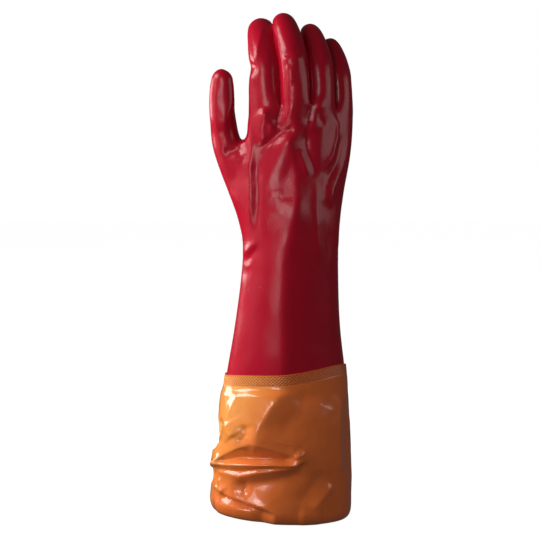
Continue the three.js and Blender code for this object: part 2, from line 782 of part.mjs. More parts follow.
function named(name, geometry, material) {
  const mesh = new THREE.Mesh(geometry, material);
  mesh.name = name;
  return mesh;
}

const glove = new THREE.Group();
glove.add(named('coated_glove', gloveGeometry(), coating));
glove.add(named('sleeve', sleeveGeometry(), film));
glove.add(named('weld_band', bandGeometry(), film));
export default glove;
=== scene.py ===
import json
import math

import bmesh
import bpy
import numpy as np
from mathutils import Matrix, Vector, noise
from mathutils.bvhtree import BVHTree

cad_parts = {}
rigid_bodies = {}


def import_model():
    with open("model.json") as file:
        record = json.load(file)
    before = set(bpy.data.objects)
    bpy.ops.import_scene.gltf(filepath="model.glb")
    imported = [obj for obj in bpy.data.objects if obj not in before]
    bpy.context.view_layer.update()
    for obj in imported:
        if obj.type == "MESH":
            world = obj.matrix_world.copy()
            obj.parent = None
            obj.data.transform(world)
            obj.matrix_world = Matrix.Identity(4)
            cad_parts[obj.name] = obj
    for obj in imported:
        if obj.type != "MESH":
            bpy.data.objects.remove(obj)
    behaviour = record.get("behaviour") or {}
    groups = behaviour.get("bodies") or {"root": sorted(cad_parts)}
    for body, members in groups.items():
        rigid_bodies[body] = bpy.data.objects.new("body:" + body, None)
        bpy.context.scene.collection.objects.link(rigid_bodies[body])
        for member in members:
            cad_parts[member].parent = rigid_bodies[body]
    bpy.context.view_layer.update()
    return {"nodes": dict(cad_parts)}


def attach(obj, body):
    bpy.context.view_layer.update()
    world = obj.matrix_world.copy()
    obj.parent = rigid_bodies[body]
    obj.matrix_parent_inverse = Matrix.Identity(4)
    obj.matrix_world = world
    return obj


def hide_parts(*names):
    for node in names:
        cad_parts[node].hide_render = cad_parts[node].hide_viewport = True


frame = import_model()
mm = 0.001


# Helpers for meshes, whose points are handled in millimetres

def pickOnly(piece):
    bpy.ops.object.select_all(action="DESELECT")
    piece.select_set(True)
    bpy.context.view_layer.objects.active = piece


def pointsOf(mesh):
    found = np.empty(len(mesh.vertices) * 3)
    mesh.vertices.foreach_get("co", found)
    return found.reshape(-1, 3) / mm


def normalsOf(mesh):
    found = np.empty(len(mesh.vertices) * 3, dtype=np.float32)
    mesh.vertex_normals.foreach_get("vector", found)
    return found.reshape(-1, 3).astype(float)


def placePoints(piece, points):
    piece.data.vertices.foreach_set("co", (points * mm).ravel())
    piece.data.update()


def applyAll(piece):
    pickOnly(piece)
    for modifier in list(piece.modifiers):
        bpy.ops.object.modifier_apply(modifier=modifier.name)


def giveWall(piece, thickness):
    wall = piece.modifiers.new("wall", "SOLIDIFY")
    wall.thickness = thickness * mm
    wall.offset = -1  # the wall grows inwards from the skin
    applyAll(piece)


def smoothBelow(piece, degrees):
    pickOnly(piece)
    bpy.ops.object.shade_smooth_by_angle(angle=math.radians(degrees))


def startEdit(piece, mode):
    pickOnly(piece)
    bpy.ops.object.mode_set(mode="EDIT")
    bpy.ops.mesh.select_mode(type=mode)
    bpy.ops.mesh.select_all(action="DESELECT")
    return bmesh.from_edit_mesh(piece.data)


def mergeClose(piece, reach=0.001):
    startEdit(piece, "VERT")
    bpy.ops.mesh.select_all(action="SELECT")
    bpy.ops.mesh.remove_doubles(threshold=reach * mm)
    bpy.ops.object.mode_set(mode="OBJECT")


def smoothThrough(piece, rounds, levels):
    # The subdivided surface shrinks inside its control points, so they are moved out until it runs
    # through the places where they were.
    aim = pointsOf(piece.data)
    control = aim.copy()
    modifier = piece.modifiers.new("smooth", "SUBSURF")
    modifier.levels = modifier.render_levels = 1
    for fitting in range(rounds):
        graph = bpy.context.evaluated_depsgraph_get()
        control += aim - pointsOf(piece.evaluated_get(graph).data)[:len(aim)]
        placePoints(piece, control)
    modifier.levels = modifier.render_levels = levels
    applyAll(piece)


def ramp(x, low, high):
    t = np.clip((x - low) / (high - low), 0, 1)
    return t * t * (3 - 2 * t)


# How far a surface has to face the back of the hand for its creases to set in, and to be full
creases = {"from": 0.05, "full": 0.5}


def onBack(share):
    return ramp(share, creases["from"], creases["full"])


# Stamps: ridges and valleys drawn as lines over a surface. lift is the height in millimetres, wide how
# fast it falls away on the left and right of the line's direction, soft how round its crest is, and taper
# the shares of the line over which it rises and dies away.

lineEnd = 0.001  # how far past its ends a line is nothing, so that a taper of 0 works too


def strokeDistance(u, v, path):
    best = np.full(u.shape, np.inf)
    side = np.zeros(u.shape)
    along = np.zeros(u.shape)
    path = np.array(path, float)
    lengths = np.hypot(*np.diff(path, axis=0).T)
    total = lengths.sum()
    before = 0.0
    for a, b, length in zip(path[:-1], path[1:], lengths):
        du, dv = (b - a) / length
        pu, pv = u - a[0], v - a[1]
        t = np.clip(pu * du + pv * dv, 0, length)
        away = np.hypot(pu - t * du, pv - t * dv)
        near = away < best
        best = np.where(near, away, best)
        side = np.where(near, np.sign(du * pv - dv * pu), side)
        along = np.where(near, (before + t) / total, along)
        before += length
    return best, side, along


def stampField(u, v, stamps):
    field = np.zeros(u.shape)
    for stamp in stamps:
        away, side, along = strokeDistance(u, v, stamp["path"])
        left, right = stamp["wide"]
        wide = np.where(side > 0, left, right)
        soft = stamp.get("soft", 1.0)
        fall = np.exp(-(np.hypot(away, soft) - soft) / wide)
        start, end = stamp.get("taper", (0.25, 0.25))
        ends = ramp(along, -lineEnd, start) * (1 - ramp(along, 1 - end, 1 + lineEnd))
        field += stamp["lift"] * fall * ends
    return field


def grain(points, lump, seed):
    # smooth noise between about -1 and 1; lump is the size of its lumps on each axis
    move = seed * Vector((17.3, 5.1, 9.7))  # takes each seed to another part of the noise
    size = Vector([1 / length for length in lump])
    return np.array([noise.noise(Vector(p) * size + move) for p in points.tolist()])


# Glove

glove = {
    "wall": 1.8,
    "merge": 0.01,
    "rimBelow": 16.4, "rimFacing": -0.7,  # the solid's rim lies under this height and faces down
    "rounds": 5, "levels": 2,
    "swell": 0.35, "swellLump": (16, 16, 26),
    "grain": 0.10, "grainLump": (5, 5, 8),
    "smoothBelow": 75,
}

# The dent in the index finger's side towards the thumb
notch = {"height": 431, "tall": 7, "from": -36, "to": -22, "depth": 1.8, "facing": (0.2, 0.8)}

# Neighbouring fingers above the palm that are nearer than this are pressed together, all but a hair
fingerGap = {"above": 340, "sideways": 0.35, "start": 0.01, "near": 4.0, "full": 2.8, "hair": 0.04}

# The long ridge between the lit and the dark side of the hand, which runs on over the band and the film
roof = [
    {"path": [(14.9, 335.0), (14.9, 309.0), (11.2, 288.7), (8.4, 276.6), (3.5, 253.3), (2.0, 210),
              (2.0, 150), (2.0, 95)], "lift": 6.0, "wide": (20, 26), "soft": 5.0, "taper": (0.2, 0.3)},
]

# Ridges (lift above zero) and valleys over the back of the hand, by x and height. A line runs downwards
# or to the right, and wide gives its fall on the outer or upper side first.
handStamps = [
    # long lines of the hand
    {"path": [(-25.7, 431.6), (-29.0, 412.0), (-29.5, 392), (-26.7, 351.8), (-28.9, 333.2), (-28.0, 303.6),
              (-27.6, 270.5)], "lift": 1.5, "wide": (2.2, 4), "soft": 1.2, "taper": (0.08, 0.2)},
    {"path": [(-22.4, 352), (-21.4, 308.6), (-22.4, 274.7)], "lift": -1.3, "wide": (3.5, 2.5), "soft": 1.6},
    {"path": [(1.9, 372), (9.3, 357.0), (14.0, 332.0), (14.9, 309.0), (11.2, 288.7), (8.4, 276.6)],
     "lift": 2.6, "wide": (9, 16), "soft": 2.0, "taper": (0.12, 0.3)},
    # index finger
    {"path": [(-16.3, 468.5), (-20.2, 456.8), (-22.6, 442.6), (-26.6, 433.0)], "lift": 1.3, "wide": (2.5, 3),
     "soft": 0.8, "taper": (0.2, 0.1)},
    {"path": [(-31, 437), (-28.0, 432.4), (-21.3, 427.8)], "lift": -0.6, "wide": (2.5, 2.5), "soft": 1.2},
    {"path": [(-19.6, 394.2), (-12.1, 383.7), (-5.6, 375.4), (0.0, 368.8)], "lift": 2.6, "wide": (3, 12),
     "soft": 1.2},
    {"path": [(-12.1, 396.7), (-17.7, 375.2), (-15.9, 356.7)], "lift": 1.4, "wide": (4, 4), "soft": 1.5},
    {"path": [(2.3, 404.1), (0.0, 392.1), (-4.7, 380.0), (-6.5, 374.4)], "lift": -1.6, "wide": (2.2, 2.5),
     "soft": 1.0},
    {"path": [(-8.5, 377.4), (-3, 372.8), (2.8, 371.3), (8, 374.0), (12.1, 379.3)], "lift": -1.5,
     "wide": (2.4, 3.0), "soft": 1.2},
    {"path": [(-19.6, 357.5), (-14.0, 359.9), (-8.4, 363.3)], "lift": -0.7, "wide": (1.6, 1.6), "soft": 0.8},
    {"path": [(-18.7, 352.8), (-12.1, 355.7), (-6.5, 359.0)], "lift": 0.7, "wide": (1.6, 1.6), "soft": 0.8},
    # middle finger
    {"path": [(-0.5, 440.9), (4.6, 438.7), (11.1, 441.9), (20.4, 440.3)], "lift": 1.0, "wide": (1.6, 2.2),
     "soft": 0.8},
    {"path": [(-0.5, 445.5), (6, 443.4), (13, 446), (20.4, 444.5)], "lift": -0.9, "wide": (2, 2),
     "soft": 1.0},
    {"path": [(4.6, 434), (8.3, 427.3), (9.3, 415)], "lift": 1.1, "wide": (3, 3), "soft": 1.5},
    {"path": [(6.5, 383.0), (9.3, 390.4), (9.7, 397.8)], "lift": 1.0, "wide": (3, 3), "soft": 1.5},
    {"path": [(23.2, 434.5), (25.1, 410.5), (25.1, 387.4)], "lift": 0.8, "wide": (2.5, 2.5), "soft": 1.0},
    {"path": [(27.5, 397.4), (27.0, 390.2), (25.1, 378.0)], "lift": -1.6, "wide": (2.2, 2.2), "soft": 1.0},
    # ring and little finger
    {"path": [(38.2, 403.9), (33.5, 387.3), (25.2, 368.9)], "lift": 1.2, "wide": (4, 3), "soft": 1.5},
    {"path": [(34.5, 395), (36.4, 384), (42.0, 376)], "lift": -1.2, "wide": (2.0, 2.5), "soft": 0.9},
    {"path": [(46.8, 391.7), (52.5, 378.4), (52.5, 365.4), (48.3, 349.8), (43.4, 340.7), (36.9, 334.4)],
     "lift": 1.6, "wide": (2.0, 3.0), "soft": 0.8},
    {"path": [(22.3, 375.4), (24.2, 355.0), (31.7, 336.4), (36.4, 332.6)], "lift": -1.8, "wide": (3, 3),
     "soft": 1.4},
    {"path": [(14.9, 357.9), (20.5, 345.8), (27.0, 330.0)], "lift": 1.4, "wide": (3, 2.5), "soft": 1.2},
    {"path": [(58.3, 372.6), (53.5, 344.9), (44.0, 326.7), (40.2, 313.0)], "lift": -1.4, "wide": (3, 2.5),
     "soft": 1.2},
    {"path": [(40.1, 331.7), (47.8, 315.4), (45.9, 298.5)], "lift": 1.2, "wide": (2.2, 2.4), "soft": 1.0},
    {"path": [(60.2, 344.5), (49.7, 321.8), (42.1, 303.6)], "lift": 1.2, "wide": (2.4, 2.4), "soft": 1.0},
    {"path": [(32.7, 329.0), (32.7, 308.6), (33.6, 280.7), (36.5, 245.0)], "lift": 1.2, "wide": (2.5, 3.5),
     "soft": 1.2},
    {"path": [(40.2, 313.0), (42.1, 284.9), (46.0, 249.8)], "lift": -0.9, "wide": (2.5, 3), "soft": 1.2},
    {"path": [(48.8, 312.5), (51.8, 284.0), (54.0, 254.6)], "lift": 0.9, "wide": (2.5, 3), "soft": 1.2},
    # thumb and wrist
    {"path": [(-50, 434), (-47.5, 415), (-48, 400), (-52, 385), (-54, 365)], "lift": 4.0, "wide": (5, 15),
     "soft": 1.2, "taper": (0.2, 0.3)},
    {"path": [(-59.9, 421.2), (-60.9, 400.8), (-61.0, 382.1), (-58.3, 355.8)], "lift": 0.8, "wide": (3, 3),
     "soft": 1.2},
    {"path": [(-58.5, 428), (-57.8, 405), (-57.5, 380), (-55, 352)], "lift": -1.6, "wide": (6, 6), "soft": 5,
     "taper": (0.15, 0.3)},
    {"path": [(-55.5, 354.0), (-46.0, 352.2), (-34.7, 354.3)], "lift": -1.2, "wide": (2.5, 3), "soft": 1.2},
    {"path": [(-46, 354), (-39, 341), (-34, 325)], "lift": 2.6, "wide": (8, 8), "soft": 5,
     "taper": (0.3, 0.5)},
    {"path": [(-35.5, 253.9), (-29.1, 261.0), (-20.6, 271.2)], "lift": 1.7, "wide": (2.0, 2.4), "soft": 0.8},
    {"path": [(-34.0, 248.8), (-27.2, 256.5), (-20.5, 264.5)], "lift": -1.7, "wide": (1.8, 2.6), "soft": 0.8},
    {"path": [(-35.9, 237.0), (-31.1, 239.0), (-26.3, 241.5)], "lift": -0.9, "wide": (2, 2), "soft": 1.0},
    {"path": [(-12.1, 316.3), (-4.7, 314.5), (2.8, 317.3)], "lift": 0.5, "wide": (1.8, 1.8), "soft": 0.8},
    {"path": [(-14.0, 295.8), (-4.7, 297.8), (2.8, 296.1)], "lift": 0.5, "wide": (1.8, 1.8), "soft": 0.8},
    {"path": [(41.3, 233.3), (46.2, 204.3), (47.2, 171.1)], "lift": 0.7, "wide": (3, 3), "soft": 1.5},
]


def closeGaps(piece):
    # no backdrop shows between neighbouring fingers
    points, normals = pointsOf(piece.data), normalsOf(piece.data)
    tree = BVHTree.FromPolygons(points.tolist(), [tuple(f.vertices) for f in piece.data.polygons])
    push = np.zeros(len(points))
    beside = (points[:, 2] > fingerGap["above"]) & (np.abs(normals[:, 0]) > fingerGap["sideways"])
    for i in np.flatnonzero(beside):
        start, way = Vector(points[i]), Vector(normals[i])
        begin = start + way * fingerGap["start"]
        hit, hitNormal, _, away = tree.ray_cast(begin, way, fingerGap["near"])
        if hit is not None and hitNormal.dot(way) < 0:
            push[i] = (away / 2 - fingerGap["hair"]) * (1 - ramp(away, fingerGap["full"], fingerGap["near"]))
    placePoints(piece, points + normals * push[:, None])


def copySolid(node, name):
    piece = frame["nodes"][node].copy()
    piece.data = piece.data.copy()
    piece.name = piece.data.name = name
    bpy.context.collection.objects.link(piece)
    piece.parent = None
    piece.matrix_world.identity()
    piece.data.materials.clear()
    mergeClose(piece, glove["merge"])
    return piece


def keepOuterSkin(piece):
    # without its rim the solid is two shells, and the outer one holds the topmost point
    shape = startEdit(piece, "VERT")
    for face in shape.faces:
        low = all(v.co.z < glove["rimBelow"] * mm for v in face.verts)
        face.select_set(low and face.normal.z < glove["rimFacing"])
    bmesh.update_edit_mesh(piece.data)
    bpy.ops.mesh.delete(type="FACE")
    shape = bmesh.from_edit_mesh(piece.data)
    bpy.ops.mesh.select_all(action="DESELECT")
    max(shape.verts, key=lambda v: v.co.z).select_set(True)
    bmesh.update_edit_mesh(piece.data)
    bpy.ops.mesh.select_linked(delimit=set())
    bpy.ops.mesh.select_all(action="INVERT")
    bpy.ops.mesh.delete(type="VERT")
    bpy.ops.object.mode_set(mode="OBJECT")


def dissolveDiagonals(piece):
    # each diagonal joins two points that both have more than four edges
    shape = startEdit(piece, "EDGE")
    for edge in shape.edges:
        edge.select_set(all(len(v.link_edges) > 4 for v in edge.verts))
    bmesh.update_edit_mesh(piece.data)
    bpy.ops.mesh.dissolve_edges(use_verts=False, use_face_split=False)
    bpy.ops.mesh.select_mode(type="VERT")
    bpy.ops.object.mode_set(mode="OBJECT")
    sides = [len(f.vertices) for f in piece.data.polygons]
    print("glove skin faces", len(sides), "quads", sides.count(4))


def creaseGlove(piece):
    points, normals = pointsOf(piece.data), normalsOf(piece.data)
    facing = onBack(-normals[:, 1])
    lift = stampField(points[:, 0], points[:, 2], handStamps + roof) * facing
    lift += glove["swell"] * grain(points, glove["swellLump"], seed=1) * facing
    lift += glove["grain"] * grain(points, glove["grainLump"], seed=2)
    points += normals * lift[:, None]
    dent = np.exp(-((points[:, 2] - notch["height"]) / notch["tall"]) ** 2)
    dent *= ramp(-normals[:, 0], *notch["facing"])
    dent *= (points[:, 0] > notch["from"]) * (points[:, 0] < notch["to"])
    points[:, 0] += notch["depth"] * dent
    placePoints(piece, points)


def makeGlove():
    piece = copySolid("coated_glove", "glove")
    keepOuterSkin(piece)
    dissolveDiagonals(piece)
    smoothThrough(piece, glove["rounds"], glove["levels"])
    creaseGlove(piece)
    closeGaps(piece)
    giveWall(piece, glove["wall"])
    smoothBelow(piece, glove["smoothBelow"])
    return piece


# Film sleeve: the gauntlet's sections, how far the film stands off them, and its folds

gauntlet = {
    "end": 16, "length": 246,
    "cuff": (128, 74), "wrist": (89, 58), "shift": 9.5,
    # rise, share of the cuff's extra girth, share of the wrist's sideways shift
    "rows": [(0, 1, -0.1), (0.28, 0.86, 0.26), (0.5, 0.66, 0.5), (0.59, 0.46, 0.56), (0.72, 0.24, 0.66),
             (0.86, 0.09, 0.86), (1, 0, 1)],
}

sleeve = {
    "wall": 1.0, "gap": 0.8, "liningGap": 2.8, "topGap": 0.02,
    "hemHeight": 12, "hemRise": 8, "lining": 30,
    "columns": 320, "rows": 116, "hemRows": 14, "liningRows": 5,
    "rowCrowding": 0.35, "columnCrowding": 0.4,
    "open": (0.07, 0.88),  # heights between which the edges part, as shares
    "edgeTurn": 60,  # degrees from the opening within which its edges pull the film along
    "foldsFrom": 0.07, "rippleFrom": 0.1,  # shares of the way down over which they set in
    "ripple": 0.7, "rippleLump": (22, 22, 30), "fine": 0.35, "fineLump": (7, 7, 9), "rippleRound": 50,
    "smoothBelow": 60,
}

# Sections of the film by their share of its height: how many degrees the opening's two edges are moved by,
# and how far the film stands off at its four sides
filmNames = ["up", "lip", "heel", "thumb", "outer", "back", "palm"]
filmRows = [
    (0.00, -6, -6, 3.0, 4.0, 8.5, 8.0),
    (0.08, -4, -8, 3.0, 4.0, 8.5, 8.0),
    (0.17, 16, -18, 2.6, 4.0, 8.5, 7.5),
    (0.25, 12, -24, 2.4, 4.0, 8.5, 7.0),
    (0.32, -8, -28, 2.4, 3.6, 8.5, 6.5),
    (0.39, -9, -30, 2.2, 3.4, 8.5, 6.0),
    (0.46, 20, -32, 1.8, 3.0, 8.0, 5.5),
    (0.54, 25, -30, 1.6, 2.6, 7.5, 5.0),
    (0.70, 14, -22, 1.4, 1.8, 6.0, 3.5),
    (0.85, 4, -6, 1.3, 1.1, 3.5, 1.5),
    (0.88, 0, 0, 1.2, 1.0, 2.5, 1.2),
    (1.00, 0, 0, 0.9, 0.9, 0.9, 0.9),
]

# The band's top edge, by turn and height
bandLine = [(0, 138), (50, 144), (90, 145), (125, 151), (155, 153), (185, 148), (270, 142), (360, 138)]

# Folds of the film by turn, in degrees from the thumb side over the back of the hand, and height. A line
# runs downwards or to the right, and wide gives its fall on the outer or upper side first.
filmFolds = [
    # the diagonal edge, and the hollow right of it
    {"path": [(92, 139), (88.1, 132.5), (79.8, 116.7), (70.8, 99.0), (66.5, 85.7), (62, 60)], "lift": 8.6,
     "wide": (20, 30), "soft": 1.0, "taper": (0.3, 0.36)},
    {"path": [(112, 134), (103, 117.2), (93, 98.3), (86, 84)], "lift": -2.0, "wide": (14, 10), "soft": 4,
     "taper": (0.3, 0.3)},
    # brow over the fold, its pinch, the fold's two ridges and the furrow below
    {"path": [(12, 50), (22, 58), (33, 66), (50, 75), (66, 83)], "lift": 5.6, "wide": (17, 3.2), "soft": 1.0,
     "taper": (0.1, 0.3)},
    {"path": [(56, 79), (65, 82), (76, 78), (90, 72.5), (106, 69.0)], "lift": 2.8, "wide": (6, 3),
     "soft": 1.2, "taper": (0.3, 0.2)},
    {"path": [(99, 74.5), (103.5, 71), (105, 66.5), (103, 60)], "lift": 3.6, "wide": (2.6, 6), "soft": 1.6,
     "taper": (0.35, 0.3)},
    {"path": [(27, 59.5), (45, 65), (58.3, 67.8), (79.0, 67.4), (100.8, 65)], "lift": -3.4, "wide": (4, 3),
     "soft": 1.6, "taper": (0.12, 0.12)},
    {"path": [(14, 55), (28.9, 57.3), (60.7, 60.4), (83.1, 61.8), (106, 61.3)], "lift": 5.4, "wide": (3, 3.2),
     "soft": 1.3, "taper": (0.15, 0.06)},
    {"path": [(30, 52.4), (52.4, 53.9), (70.5, 57), (88, 59.0)], "lift": -2.0, "wide": (2, 2), "soft": 0.9},
    {"path": [(22, 49.0), (40.9, 49.6), (51.9, 48.0), (69.3, 53.6), (83.7, 56.0), (103, 58.0)], "lift": 2.6,
     "wide": (2, 5), "soft": 1.0, "taper": (0.15, 0.15)},
    {"path": [(44, 38), (62, 41), (79.8, 45.2), (97.7, 49.8), (110, 56.6)], "lift": -3.6, "wide": (5, 9),
     "soft": 3, "taper": (0.2, 0.2)},
    {"path": [(56.7, 46), (58.2, 37.6), (57.6, 29.5)], "lift": -1.3, "wide": (2.5, 2.5), "soft": 1.2},
    # the crease above the hem and its roll
    {"path": [(26.3, 43.9), (32.5, 36.3), (38.3, 29.3)], "lift": 1.8, "wide": (2.2, 2.2), "soft": 0.8},
    {"path": [(18, 34.2), (31.9, 32.3), (37.6, 29.1)], "lift": 1.8, "wide": (2.2, 2.2), "soft": 0.8},
    {"path": [(30, 31), (37.6, 29.1), (50.3, 26.7), (62.9, 23.4), (77.7, 19.4), (88.4, 12.3), (98.8, 2.3)],
     "lift": 2.6, "wide": (5, 1.6), "soft": 0.8, "taper": (0.1, 0.15)},
    {"path": [(28, 28.5), (41.9, 25.3), (53.1, 21.9), (66.0, 18.4), (79.0, 13.0), (94.0, 3.2)], "lift": -4.4,
     "wide": (1.8, 2.6), "soft": 1.0, "taper": (0.15, 0.15)},
    {"path": [(16, 22), (29.0, 19.2), (43.8, 14.6), (63.5, 10.9), (80.1, 6.2)], "lift": 2.8, "wide": (4, 5),
     "soft": 3},
    # outer side
    {"path": [(151.1, 125.7), (144.9, 95.8), (144.6, 70.8), (147, 40)], "lift": 2.0, "wide": (5, 8),
     "soft": 2},
    {"path": [(163, 120), (160, 80), (160, 30)], "lift": -2.4, "wide": (7, 7), "soft": 5},
    {"path": [(127.7, 55.8), (113.6, 36.0), (105.3, 20.7)], "lift": -2.4, "wide": (8, 6), "soft": 3},
    {"path": [(136.5, 41.2), (123.8, 25.5), (113.8, 14.9)], "lift": 1.8, "wide": (4, 4), "soft": 1.6},
    {"path": [(103, 14), (115.2, 12.0), (128, 12.6)], "lift": 1.6, "wide": (4, 4), "soft": 2},
    # shallow folds at the thumb side
    {"path": [(50, 131), (42.2, 117.7), (33.9, 98.8), (28, 88)], "lift": 2.0, "wide": (9, 4), "soft": 1.2},
    {"path": [(35, 99), (40.3, 92.7), (47.8, 84.9)], "lift": 2.0, "wide": (6, 6), "soft": 3.5},
    {"path": [(55.8, 100.0), (58.5, 89.8), (51.7, 79.5)], "lift": -1.8, "wide": (3.5, 3), "soft": 1.5},
    {"path": [(19.6, 101.4), (23.5, 88.4), (22, 74)], "lift": -2.2, "wide": (4, 4), "soft": 2},
]


def splineTable(rows, samples=400):
    # a uniform cubic B-spline through a table of control rows
    rows = np.array(rows, float)
    rows = np.vstack([2 * rows[0] - rows[1], rows, 2 * rows[-1] - rows[-2]])
    t = np.linspace(0, len(rows) - 3, samples)
    first = np.minimum(t.astype(int), len(rows) - 4)
    f = (t - first)[:, None]
    weights = [(1 - f) ** 3, 3 * f ** 3 - 6 * f ** 2 + 4, 3 * f + 3 * f ** 2 - 3 * f ** 3 + 1, f ** 3]
    return sum(weight * rows[first + k] for k, weight in enumerate(weights)) / 6


gauntletTable = splineTable(gauntlet["rows"])
filmTable = splineTable(filmRows)
# the band's line closes round the gauntlet, so its table runs on past both ends
bandTable = splineTable([(turn - 360, z) for turn, z in bandLine[-3:-1]] + bandLine
                        + [(turn + 360, z) for turn, z in bandLine[1:3]])


def bandTop(turn):
    return np.interp(np.mod(turn, 360), bandTable[:, 0], bandTable[:, 1])


def gauntletSides(z):
    # left, right, front and back reach of the gauntlet at a height
    rise = (z - gauntlet["end"]) / gauntlet["length"]
    flare = np.interp(rise, gauntletTable[:, 0], gauntletTable[:, 1])
    shift = gauntlet["shift"] * np.interp(rise, gauntletTable[:, 0], gauntletTable[:, 2])
    wide = gauntlet["wrist"][0] + flare * (gauntlet["cuff"][0] - gauntlet["wrist"][0])
    deep = gauntlet["wrist"][1] + flare * (gauntlet["cuff"][1] - gauntlet["wrist"][1])
    return shift - wide / 2, shift + wide / 2, -deep / 2, deep / 2


def roundPoint(sides, turn, z, grow=0.0):
    # turn 0 is the thumb side, and 90 the back of the hand
    left, right, front, back = sides
    angle = np.radians(turn)
    x = (left + right) / 2 - ((right - left) / 2 + grow) * np.cos(angle)
    y = (front + back) / 2 - ((back - front) / 2 + grow) * np.sin(angle)
    return np.stack([x, y, z + np.zeros_like(x)], axis=-1)


def roofRise(sides, turn, z):
    flat = roundPoint(sides, turn, z)
    return stampField(flat[:, 0], flat[:, 2], roof) * onBack(np.sin(np.radians(turn)))


def filmColumn(share, name):
    return np.interp(share, filmTable[:, 0], filmTable[:, filmNames.index(name)])


def filmTurns(share):
    # turn of each column; the open edges pull the columns near them along
    columns = np.linspace(0, 1, sleeve["columns"] + 1)
    even = 360 * (columns + sleeve["columnCrowding"] * columns * (columns - 1))
    reach = sleeve["edgeTurn"]
    return (even + filmColumn(share, "lip") * (1 - ramp(even, 0, reach))
            + filmColumn(share, "heel") * ramp(even, 360 - reach, 360))


def filmFold(turn, z):
    girth = math.radians((gauntlet["cuff"][0] + gauntlet["cuff"][1]) / 4)  # millimetres for each degree
    folds = [dict(fold, path=[(a * girth, b) for a, b in fold["path"]]) for fold in filmFolds]
    return stampField(turn * girth, z, folds)


def filmRipple(turn, z):
    angle = np.radians(turn)
    reach = sleeve["rippleRound"]  # the ripples are read on a round tube of this radius
    ring = np.stack([np.cos(angle) * reach, np.sin(angle) * reach, z], axis=-1)
    coarse = grain(ring, sleeve["rippleLump"], seed=3)
    return coarse + sleeve["fine"] * grain(ring, sleeve["fineLump"], seed=4)


def filmRow(share):
    turn, wall = filmTurns(share), sleeve["wall"]
    sine, cosine = np.sin(np.radians(turn)), np.cos(np.radians(turn))
    foot = sleeve["hemRise"] * ((1 + cosine) / 2) ** 2 + sleeve["hemHeight"]
    z = foot + share * (bandTop(turn) - band["height"] - sleeve["topGap"] - foot)
    left, right, front, back = gauntletSides(z)
    thumb, outer, dorsal, palm = (filmColumn(share, name) for name in filmNames[3:])
    sides = (left - thumb - wall, right + outer + wall, front - dorsal - wall, back + palm + wall)
    facing = np.where(sine > 0, dorsal, palm)
    beside = np.where(cosine > 0, thumb, outer)
    room = beside + (facing - beside) * sine ** 2
    fold = filmFold(turn, z) * ramp(1 - share, 0, sleeve["foldsFrom"]) + roofRise(sides, turn, z)
    fold += sleeve["ripple"] * filmRipple(turn, z) * ramp(1 - share, 0, sleeve["rippleFrom"])
    return roundPoint(sides, turn, z, np.maximum(fold, sleeve["gap"] - room))


def sleeveGrid():
    grid, opened = [], []
    for i in range(sleeve["rows"] + 1):
        t = i / sleeve["rows"]
        share = 1 - (t + sleeve["rowCrowding"] * math.sin(2 * math.pi * t) / (2 * math.pi))
        grid.append(filmRow(share))
        opened.append(sleeve["open"][0] < share < sleeve["open"][1])
    # the hem turns inwards on a half round
    foot, turn = grid[-1], filmTurns(0)
    inset = -(glove["wall"] + sleeve["liningGap"] + sleeve["wall"])
    end = np.full(turn.shape, gauntlet["end"])
    inner = roundPoint(gauntletSides(end), turn, end, inset)
    for i in range(1, sleeve["hemRows"] + 1):
        angle = math.pi * i / sleeve["hemRows"]
        row = foot + (inner - foot) * (1 - math.cos(angle)) / 2
        row[:, 2] = foot[:, 2] - sleeve["hemHeight"] * math.sin(angle)
        grid.append(row)
    # the lining runs on up inside
    turned, height = grid[-1], np.full(turn.shape, sleeve["lining"])
    top = roundPoint(gauntletSides(height), turn, height, inset)
    for i in range(1, sleeve["liningRows"] + 1):
        grid.append(turned + (top - turned) * i / sleeve["liningRows"])
    opened += [False] * (len(grid) - len(opened))
    return np.array(grid), opened


def meshFromGrid(name, grid, opened, dentShade=None):
    # rows run from the top down, and the last column meets the first one but where the row is opened
    rows, columns = grid.shape[0], grid.shape[1] - 1
    for r, isOpen in enumerate(opened):
        if not isOpen:
            grid[r, columns] = grid[r, 0]
    bpy.ops.object.select_all(action="DESELECT")
    bpy.ops.mesh.primitive_grid_add(x_subdivisions=columns, y_subdivisions=rows - 1, size=1)
    piece = bpy.context.active_object
    piece.name = piece.data.name = name
    placePoints(piece, grid[::-1].reshape(-1, 3))
    if dentShade is not None:
        piece.data.attributes.new("dentShadeAmount", "FLOAT", "POINT").data.foreach_set("value", dentShade[::-1].ravel())
    mergeClose(piece)
    return piece


def makeSleeve():
    grid, opened = sleeveGrid()
    piece = meshFromGrid("sleeve_film", grid, opened)
    giveWall(piece, sleeve["wall"])
    smoothBelow(piece, sleeve["smoothBelow"])
    return piece


# Weld band: film pressed onto the gauntlet, in a lattice of raised lines with a dent in each diamond, and
# painted shade in the dents

band = {
    "height": 11, "wall": 1.0, "gap": 0.8, "skin": 0.5,
    "dents": 112, "rows": 7, "perDent": 6, "perRow": 3, "depth": 0.7,
    # painted shade in the dents: darkest where the turn faces the lit front left, fading round to the back
    "dentShadeAmount": (0.42, 0.36), "dentShadeTurn": 55,  # how dark the dents are: mean, swing and the turn of its top
    "dentShadeEdge": (0.25, 0.75),  # shares of a dent's depth between which it darkens
    "smoothBelow": 65,
}


